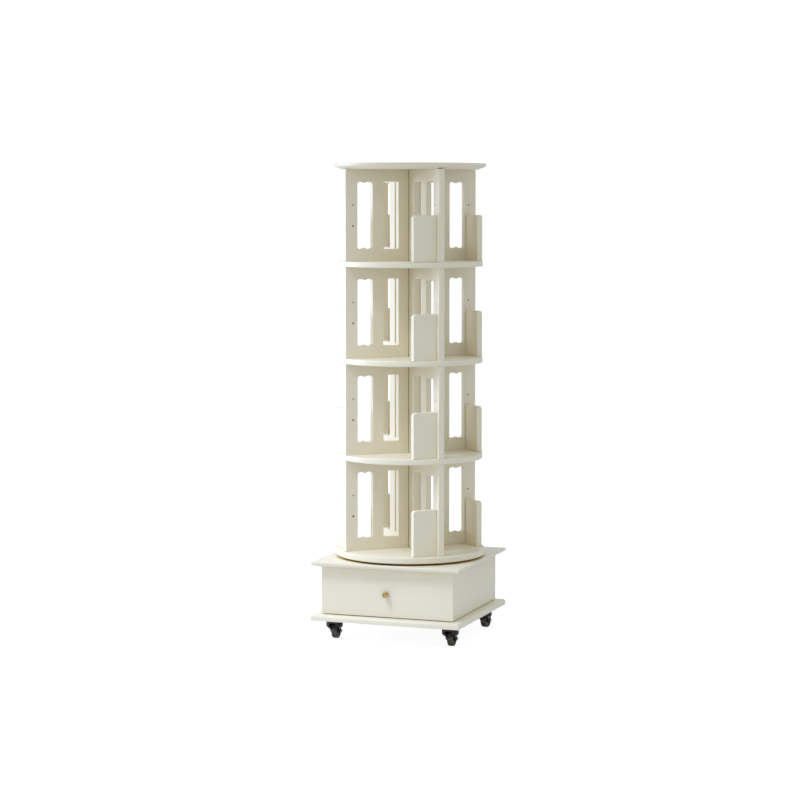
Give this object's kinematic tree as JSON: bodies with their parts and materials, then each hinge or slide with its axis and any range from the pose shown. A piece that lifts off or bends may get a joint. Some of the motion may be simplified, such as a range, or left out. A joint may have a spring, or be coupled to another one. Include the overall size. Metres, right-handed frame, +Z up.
{
  "type": "revolving bookcase",
  "caption": "Tall round bookcase whose open tiers turn together on a square base with a drawer, standing on swivel casters.",
  "frame": {"origin": "on the floor, under the axis that the carousel turns on, at the middle of the square base", "axes": "+Z up along the carousel's axis, -Y out of the drawer front, +X to the right seen from the front"},
  "size_m": [0.513, 0.513, 1.576],
  "materials": {
    "painted_board": "ivory satin paint",
    "drawer_wood": "clear satin lacquer",
    "knob_brass": "polished",
    "bearing_steel": "zinc plated",
    "caster_black": "black semi-gloss",
    "wheel_black": "black satin",
    "axle_steel": "zinc plated"
  },
  "bodies": {
    "base": {"base_bottom_board": "painted_board", "base_top_board": "painted_board", "case_left_side": "painted_board", "case_right_side": "painted_board", "case_back": "painted_board", "drawer_runner_left": "drawer_wood", "drawer_runner_right": "drawer_wood", "bearing_lower_ring": "bearing_steel", "caster_plate_1": "caster_black", "caster_plate_2": "caster_black", "caster_plate_3": "caster_black", "caster_plate_4": "caster_black"},
    "carousel": {"bearing_upper_ring": "bearing_steel", "turntable_board": "painted_board", "shelf_1": "painted_board", "shelf_2": "painted_board", "shelf_3": "painted_board", "top_board": "painted_board", "cross_board_1a": "painted_board", "cross_board_1b": "painted_board", "cross_board_2a": "painted_board", "cross_board_2b": "painted_board", "cross_board_3a": "painted_board", "cross_board_3b": "painted_board", "cross_board_4a": "painted_board", "cross_board_4b": "painted_board", "book_stop_1_1": "painted_board", "book_stop_1_2": "painted_board", "book_stop_1_3": "painted_board", "book_stop_1_4": "painted_board", "book_stop_2_1": "painted_board", "book_stop_2_2": "painted_board", "book_stop_2_3": "painted_board", "book_stop_2_4": "painted_board", "book_stop_3_1": "painted_board", "book_stop_3_2": "painted_board", "book_stop_3_3": "painted_board", "book_stop_3_4": "painted_board", "book_stop_4_1": "painted_board", "book_stop_4_2": "painted_board", "book_stop_4_3": "painted_board", "book_stop_4_4": "painted_board"},
    "drawer": {"drawer_front": "painted_board", "drawer_left_side": "drawer_wood", "drawer_right_side": "drawer_wood", "drawer_back": "drawer_wood", "drawer_bottom": "drawer_wood", "drawer_knob": "knob_brass"},
    "caster_1": {"caster_fork_1": "caster_black", "caster_axle_1": "axle_steel"},
    "caster_2": {"caster_fork_2": "caster_black", "caster_axle_2": "axle_steel"},
    "caster_3": {"caster_fork_3": "caster_black", "caster_axle_3": "axle_steel"},
    "caster_4": {"caster_fork_4": "caster_black", "caster_axle_4": "axle_steel"},
    "wheel_1": {"caster_wheel_1": "wheel_black"},
    "wheel_2": {"caster_wheel_2": "wheel_black"},
    "wheel_3": {"caster_wheel_3": "wheel_black"},
    "wheel_4": {"caster_wheel_4": "wheel_black"}
  },
  "joints": [
    {"name": "carousel_spin", "type": "hinge", "parent": "base", "child": "carousel", "pos_m": [0, 0, 0.2705], "axis": [0, 0, 1], "continuous": true},
    {"name": "drawer_slide", "type": "slide", "parent": "base", "child": "drawer", "axis": [0, -1, 0], "range_m": [0, 0.3]},
    {"name": "caster_1_swivel", "type": "hinge", "parent": "base", "child": "caster_1", "pos_m": [-0.203, -0.178, 0], "axis": [0, 0, 1], "continuous": true},
    {"name": "caster_2_swivel", "type": "hinge", "parent": "base", "child": "caster_2", "pos_m": [0.203, -0.178, 0], "axis": [0, 0, 1], "continuous": true},
    {"name": "caster_3_swivel", "type": "hinge", "parent": "base", "child": "caster_3", "pos_m": [0.203, 0.178, 0], "axis": [0, 0, 1], "continuous": true},
    {"name": "caster_4_swivel", "type": "hinge", "parent": "base", "child": "caster_4", "pos_m": [-0.203, 0.178, 0], "axis": [0, 0, 1], "continuous": true},
    {"name": "wheel_1_roll", "type": "hinge", "parent": "caster_1", "child": "wheel_1", "pos_m": [-0.20389, -0.16102, 0.02484], "axis": [-0.9986, -0.0523, 0], "continuous": true},
    {"name": "wheel_2_roll", "type": "hinge", "parent": "caster_2", "child": "wheel_2", "pos_m": [0.20241, -0.16101, 0.02484], "axis": [-0.9994, -0.0349, 0], "continuous": true},
    {"name": "wheel_3_roll", "type": "hinge", "parent": "caster_3", "child": "wheel_3", "pos_m": [0.20478, 0.19491, 0.02484], "axis": [-0.9945, 0.1045, 0], "continuous": true},
    {"name": "wheel_4_roll", "type": "hinge", "parent": "caster_4", "child": "wheel_4", "pos_m": [-0.21098, 0.19301, 0.02484], "axis": [-0.8829, -0.4695, 0], "continuous": true}
  ]
}
